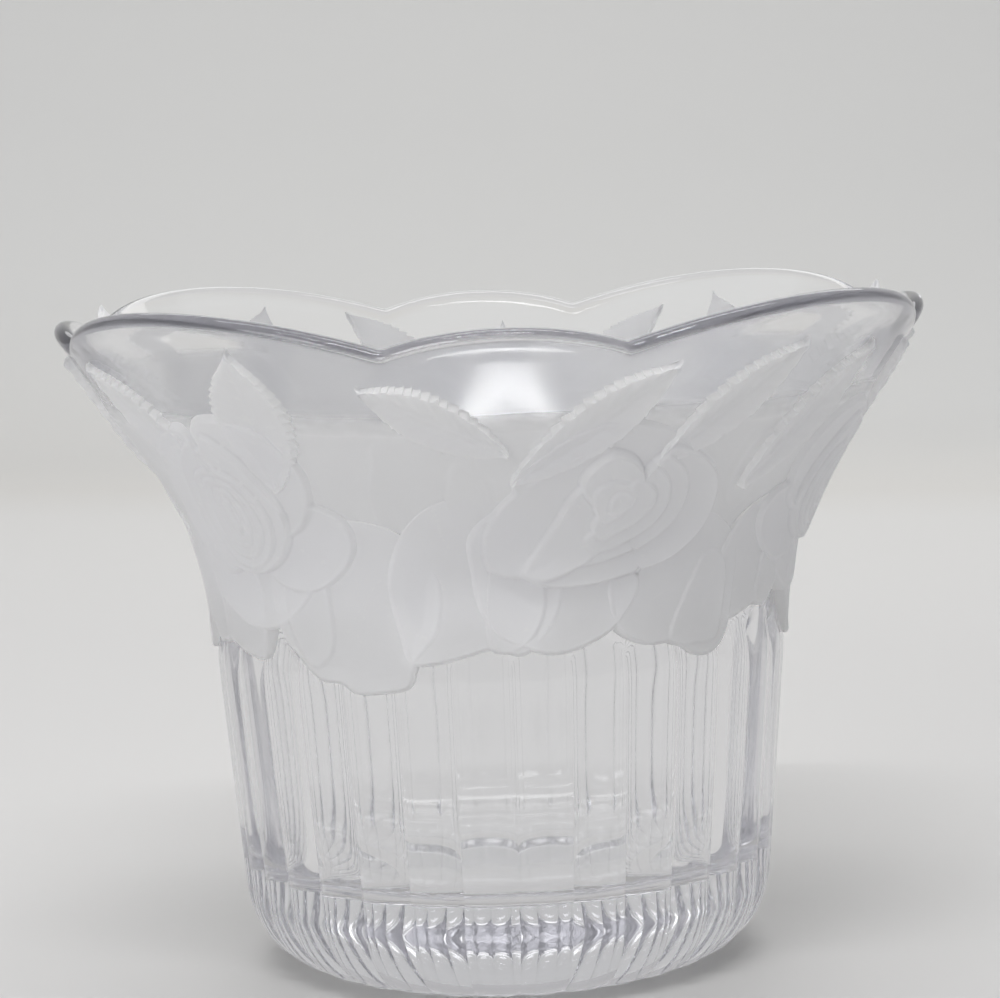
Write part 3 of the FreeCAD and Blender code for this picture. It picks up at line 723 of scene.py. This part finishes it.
def satin_glass(name, thinning):
    """Frosted glass that lets light through, with painted shade darkening its hollows and creases and paler
    crests that are partly polished edge and partly painted highlight; its top can thin out to clear.
    """
    material, tree = new_material(name)
    place = tree.node("ShaderNodeTexCoord").out("Object")
    cloud = tree.node("ShaderNodeTexNoise", {}, {"Vector": place, "Scale": 38.0, "Detail": 4.0}).out("Fac")
    grain = tree.node("ShaderNodeTexNoise", {}, {
        "Vector": place, "Scale": 2600.0, "Detail": 2.0}).out("Fac")
    crest = tree.node("ShaderNodeNewGeometry").out("Pointiness")
    # Painted shade: by pointiness the ramp darkens hollows and creases; the paler crests are partly
    # polished edge, partly painted highlight
    stops = [(0.0, (0.87, 0.87, 0.882, 1)), (0.40, (0.975, 0.975, 0.98, 1)),
             (0.60, (0.985, 0.985, 0.99, 1)), (1.0, (1.0, 1.0, 1.0, 1))]
    crest_polish_and_painted_shade = 6.0 * crest - 2.55 + 0.1 * cloud
    colour = tree.node("ShaderNodeValToRGB", {"stops": stops}, {"Fac": crest_polish_and_painted_shade}).out("Color")
    bump = tree.node("ShaderNodeBump", {}, {"Strength": 0.12, "Distance": 0.00012, "Height": grain})
    face = tree.node("ShaderNodeBsdfPrincipled", {}, {
        "Base Color": colour, "Roughness": 0.46 + 0.14 * cloud, "IOR": 1.5, "Normal": bump.out("Normal")})
    through = tree.node("ShaderNodeBsdfTranslucent", {}, {"Color": colour})
    mixed = tree.node("ShaderNodeMixShader", {}, {0: 0.62, 1: face.out("BSDF"), 2: through.out("BSDF")})
    if thinning:
        level = tree.node("ShaderNodeSeparateXYZ", {}, {"Vector": place}).out("Z")
        bare = tree.node("ShaderNodeMapRange", {"clamp": True}, {
            "Value": level + 0.004 * cloud, "From Min": 0.1330, "From Max": 0.1385})
        clear = tree.node("ShaderNodeBsdfTransparent")
        mixed = tree.node("ShaderNodeMixShader", {}, {
            0: bare.out("Result"), 1: mixed.out("Shader"), 2: clear.out("BSDF")})
    tree.node("ShaderNodeOutputMaterial", {}, {"Surface": mixed.out("Shader")})
    return material


# Stage, lights and camera


def stage_paint():
    """Matt pale paint, lighter on the wall than on the table, with a painted shadow band just beyond the
    table's far edge, and seen evenly through the glass.
    """
    material, tree = new_material("pale stage paint")
    place = tree.node("ShaderNodeTexCoord").out("Object")
    parts = tree.node("ShaderNodeSeparateXYZ", {}, {"Vector": place})
    far = parts.out("Y") + 0.30 * parts.out("X")
    cloud = tree.node("ShaderNodeTexNoise", {}, {"Vector": place, "Scale": 2.2, "Detail": 2.0}).out("Fac")
    # The darker, warmer stop at 0.56 is a painted shadow band just beyond the table's far edge
    stops = [(0.0, (0.60, 0.595, 0.59, 1)), (0.42, (0.635, 0.63, 0.62, 1)),
             (0.56, (0.625, 0.615, 0.595, 1)), (1.0, (0.68, 0.68, 0.67, 1))]
    shade = far - 0.47 + 0.04 * cloud
    colour = tree.node("ShaderNodeValToRGB", {"stops": stops}, {"Fac": shade}).out("Color")
    paint = tree.node("ShaderNodeBsdfPrincipled", {}, {"Base Color": colour, "Roughness": 0.6})
    seen = tree.node("ShaderNodeEmission", {}, {"Color": colour, "Strength": 1.06})
    rays = tree.node("ShaderNodeLightPath")
    through = rays.out("Is Glossy Ray") + rays.out("Is Transmission Ray")
    mixed = tree.node("ShaderNodeMixShader", {}, {
        0: 0.40 * through, 1: paint.out("BSDF"), 2: seen.out("Emission")})
    tree.node("ShaderNodeOutputMaterial", {}, {"Surface": mixed.out("Shader")})
    return material


def build_stage():
    """A pale table that runs back and turns up into a pale wall."""
    half, near, turn_start, turn_radius, top = 3.0, -2.5, 1.25, 0.45, 2.6
    profile = [(near, 0.0), (turn_start, 0.0)]
    for turn in np.linspace(0, pi / 2, 13)[1:]:
        profile.append((turn_start + turn_radius * sin(turn), turn_radius * (1 - cos(turn))))
    profile.append((turn_start + turn_radius, top))
    points = [(x, y, z) for y, z in profile for x in (-half, half)]
    faces = [(row, row + 1, row + 3, row + 2) for row in range(0, 2 * len(profile) - 2, 2)]
    sweep = bpy.data.meshes.new("floor")
    sweep.from_pydata(points, [], faces)
    floor = bpy.data.objects.new("floor", sweep)
    bpy.context.scene.collection.objects.link(floor)
    shade_smooth(sweep, crease=40)
    sweep.materials.append(stage_paint())


def soft_lamp(name, place, target, size, power):
    """An oval lamp that points at a target; sizes in metres, power in watts."""
    lamp = bpy.data.lights.new(name, "AREA")
    lamp.shape = "ELLIPSE"
    lamp.size, lamp.size_y = size
    lamp.energy = power
    lit = bpy.data.objects.new(name, lamp)
    bpy.context.scene.collection.objects.link(lit)
    lit.location = place
    lit.rotation_euler = (Vector(target) - Vector(place)).to_track_quat("-Z", "Y").to_euler()


def build_lights():
    """A room that is darker on the camera's side, with a pale ceiling, and four soft lamps."""
    world = bpy.data.worlds.new("room")
    bpy.context.scene.world = world
    tree = Tree(world)
    direction = tree.node("ShaderNodeTexCoord").out("Generated")
    toward = tree.node("ShaderNodeSeparateXYZ", {}, {"Vector": direction})
    stops = [(0.0, (0.20, 0.20, 0.21, 1)), (0.38, (0.33, 0.33, 0.34, 1)),
             (0.56, (0.72, 0.72, 0.72, 1)), (1.0, (0.80, 0.80, 0.80, 1))]
    walls = tree.node("ShaderNodeValToRGB", {"stops": stops}, {"Fac": 0.5 + 0.5 * toward.out("Y")})
    above = tree.node("ShaderNodeMapRange", {"clamp": True}, {
        "Value": toward.out("Z"), "From Min": 0.45, "From Max": 0.80})
    room = tree.node("ShaderNodeMix", {"data_type": "RGBA"}, {
        "Factor": above.out("Result"), COLOUR_A: walls.out("Color"), COLOUR_B: (0.60, 0.60, 0.60, 1)})
    rays = tree.node("ShaderNodeLightPath")
    seen = tree.node("ShaderNodeMix", {"data_type": "RGBA"}, {
        "Factor": rays.out("Is Camera Ray"), COLOUR_A: room.out(COLOUR_OUT),
        COLOUR_B: (0.62, 0.62, 0.61, 1)})
    light = tree.node("ShaderNodeBackground", {}, {"Color": seen.out(COLOUR_OUT), "Strength": 1.0})
    tree.node("ShaderNodeOutputWorld", {}, {"Surface": light.out("Background")})
    soft_lamp("window", (-0.08, -0.90, 1.53), (0, 0.08, 0.13), (1.3, 0.05), 11.0)
    soft_lamp("front fill", (-1.1, -1.6, 0.7), (0, 0, 0.10), (1.2, 0.9), 9.0)
    soft_lamp("rear light", (0.1, 1.05, 0.95), (0, 0, 0.12), (1.4, 0.5), 2.5)
    soft_lamp("wall light", (0.0, 0.2, 1.9), (0, 1.7, 0.4), (2.0, 0.6), 13.0)


def build_camera():
    """The photograph's view: a long lens a little above the table."""
    lens = bpy.data.cameras.new("camera")
    lens.sensor_width = 36.0
    lens.lens = CAMERA_LENS
    camera = bpy.data.objects.new("camera", lens)
    bpy.context.scene.collection.objects.link(camera)
    pitch, yaw, roll = radians(CAMERA_PITCH), radians(CAMERA_YAW), radians(CAMERA_ROLL)
    forward = Vector((sin(yaw) * cos(pitch), cos(yaw) * cos(pitch), -sin(pitch)))
    level = forward.cross(Vector((0, 0, 1))).normalized()
    upright = level.cross(forward)
    right = level * cos(roll) + upright * sin(roll)
    up = upright * cos(roll) - level * sin(roll)
    turn = Matrix((right, up, -forward)).transposed().to_4x4()
    camera.matrix_world = Matrix.Translation(CAMERA_PLACE) @ turn
    bpy.context.scene.camera = camera


scene = bpy.context.scene
scene.view_settings.view_transform = "Standard"
scene.cycles.max_bounces = GLASS_BOUNCES
scene.cycles.transmission_bounces = GLASS_BOUNCES
scene.cycles.glossy_bounces = GLASS_BOUNCES
scene.cycles.diffuse_bounces = DIFFUSE_BOUNCES
clear = clear_glass()
satin = satin_glass("satin frosted glass", False)
thin_satin = satin_glass("thinning satin glass", True)
build_vessel(clear)
for number, (angle, height_share, size, bloom, side) in enumerate(ROSES, start=1):
    build_petals("rose_%d" % number, angle, height_share, BLOOMS[bloom], size, side, False, satin)
for number, (angle, height_share, size, shape, side) in enumerate(LOWER_PETALS, start=1):
    petals = PETAL_SHAPES[shape]
    build_petals("lower_petal_%d" % number, angle, height_share, petals, size, side, True, satin)
for number, leaf in enumerate(LEAVES, start=1):
    build_leaf("leaf_%d" % number, *leaf, satin)
build_ground(thin_satin)
build_stage()
build_lights()
build_camera()
